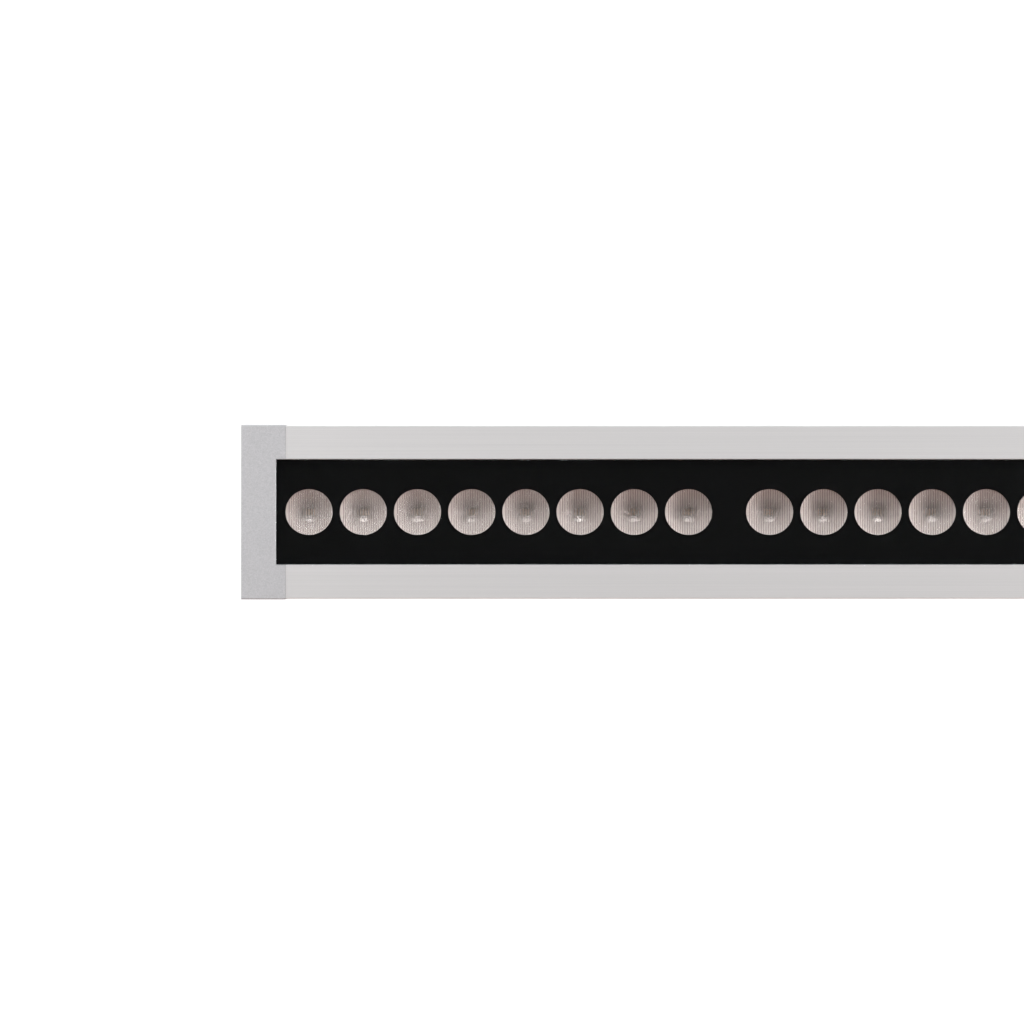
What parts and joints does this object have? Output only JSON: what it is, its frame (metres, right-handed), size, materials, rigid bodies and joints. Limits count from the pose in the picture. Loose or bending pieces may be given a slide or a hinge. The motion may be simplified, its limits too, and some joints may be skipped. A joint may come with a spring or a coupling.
{
  "type": "led strip batten",
  "caption": "Linear stage light: extruded aluminium bar with a black-masked glazed front over grouped round lenses, end-cap sockets, side control panel and two clamping tilt feet.",
  "frame": {"origin": "middle of the overall box at floor level, under the two feet", "axes": "+X along the batten towards the supply inlet end, +Y towards the side away from the control panel, +Z the way the light shines"},
  "size_m": [1, 0.0742, 0.1303],
  "materials": {
    "anodised": "natural anodised extrusion with fine lengthwise die lines",
    "blasted": "bead-blasted casting",
    "cover_glass": "clear toughened glass",
    "mask_black": "black, behind glass",
    "silicone": "matt black silicone",
    "lens": "clear moulded lens with fine spreading ribs",
    "led_board": "white solder resist on a metal core",
    "driver_case": "plain drawn case",
    "green_board": "green solder resist",
    "cable": "grey-black sheath",
    "black_plastic": "moulded, fine texture",
    "blue_plastic": "moulded, blue",
    "smoked_window": "smoked acrylic",
    "button_rubber": "dark grey moulded key",
    "stainless": "turned stainless steel",
    "black_steel": "black powder coat",
    "cast_alloy": "die cast, tumbled",
    "nylon": "black nylon"
  },
  "bodies": {
    "foot_left": {"foot_left": "black_steel", "pivot_bolt_left": "stainless", "friction_washer_left_1": "nylon", "friction_washer_left_2": "nylon"},
    "tilt_knob_left": {"tilt_knob_left": "black_plastic"},
    "carriage_left": {"carriage_left": "cast_alloy", "carriage_screw_left": "black_steel"},
    "luminaire": {"housing": "anodised", "cover_glass": "cover_glass", "lens_mask": "mask_black", "cover_gasket": "silicone", "lens_array_1": "lens", "lens_array_2": "lens", "lens_array_3": "lens", "lens_array_4": "lens", "lens_array_5": "lens", "led_board_1": "led_board", "led_board_2": "led_board", "led_board_3": "led_board", "led_board_4": "led_board", "led_board_5": "led_board", "driver_module": "driver_case", "control_board": "green_board", "mains_loom": "cable", "power_link_loom": "cable", "data_link_loom": "cable", "data_loom": "cable", "led_lead": "cable", "control_panel": "black_plastic", "display_window": "smoked_window", "breather_vent": "black_plastic", "safety_loop": "stainless", "end_cap_left": "blasted", "end_gasket_left": "silicone", "cap_screw_left_1": "stainless", "cap_screw_left_2": "stainless", "cap_screw_left_3": "stainless", "cap_screw_left_4": "stainless", "end_cap_right": "blasted", "end_gasket_right": "silicone", "cap_screw_right_1": "stainless", "cap_screw_right_2": "stainless", "cap_screw_right_3": "stainless", "cap_screw_right_4": "stainless", "power_inlet": "blue_plastic", "data_input": "black_plastic", "power_outlet": "black_plastic", "data_output": "black_plastic"},
    "carriage_right": {"carriage_right": "cast_alloy", "carriage_screw_right": "black_steel"},
    "foot_right": {"foot_right": "black_steel", "pivot_bolt_right": "stainless", "friction_washer_right_1": "nylon", "friction_washer_right_2": "nylon"},
    "tilt_knob_right": {"tilt_knob_right": "black_plastic"},
    "button_mode": {"button_mode": "button_rubber"},
    "button_up": {"button_up": "button_rubber"},
    "button_down": {"button_down": "button_rubber"},
    "button_enter": {"button_enter": "button_rubber"}
  },
  "joints": [
    {"name": "tilt", "type": "hinge", "parent": "foot_left", "child": "carriage_left", "pos_m": [-0.3, 0, 0.042], "axis": [1, 0, 0], "range_deg": [-90, 90]},
    {"name": "slide_left", "type": "slide", "parent": "carriage_left", "child": "luminaire", "axis": [1, 0, 0], "range_m": [-0.12, 0.12]},
    {"name": "slide_right", "type": "slide", "parent": "luminaire", "child": "carriage_right", "axis": [1, 0, 0], "range_m": [-0.12, 0.12]},
    {"name": "counter_tilt", "type": "hinge", "parent": "carriage_right", "child": "foot_right", "pos_m": [0.3, 0, 0.042], "axis": [1, 0, 0], "range_deg": [-90, 90]},
    {"name": "knob_left", "type": "hinge", "parent": "foot_left", "child": "tilt_knob_left", "pos_m": [-0.3, 0, 0.042], "axis": [1, 0, 0], "range_deg": [0, 360]},
    {"name": "knob_right", "type": "hinge", "parent": "foot_right", "child": "tilt_knob_right", "pos_m": [0.3, 0, 0.042], "axis": [1, 0, 0], "range_deg": [0, 360]},
    {"name": "button_mode_press", "type": "slide", "parent": "luminaire", "child": "button_mode", "axis": [0, 1, 0], "range_m": [0, 0.0007], "stiffness_N_per_m": 900},
    {"name": "button_up_press", "type": "slide", "parent": "luminaire", "child": "button_up", "axis": [0, 1, 0], "range_m": [0, 0.0007], "stiffness_N_per_m": 900},
    {"name": "button_down_press", "type": "slide", "parent": "luminaire", "child": "button_down", "axis": [0, 1, 0], "range_m": [0, 0.0007], "stiffness_N_per_m": 900},
    {"name": "button_enter_press", "type": "slide", "parent": "luminaire", "child": "button_enter", "axis": [0, 1, 0], "range_m": [0, 0.0007], "stiffness_N_per_m": 900}
  ],
  "couplings": [
    {"joint": "counter_tilt", "follows": "tilt", "ratio": -1}
  ]
}
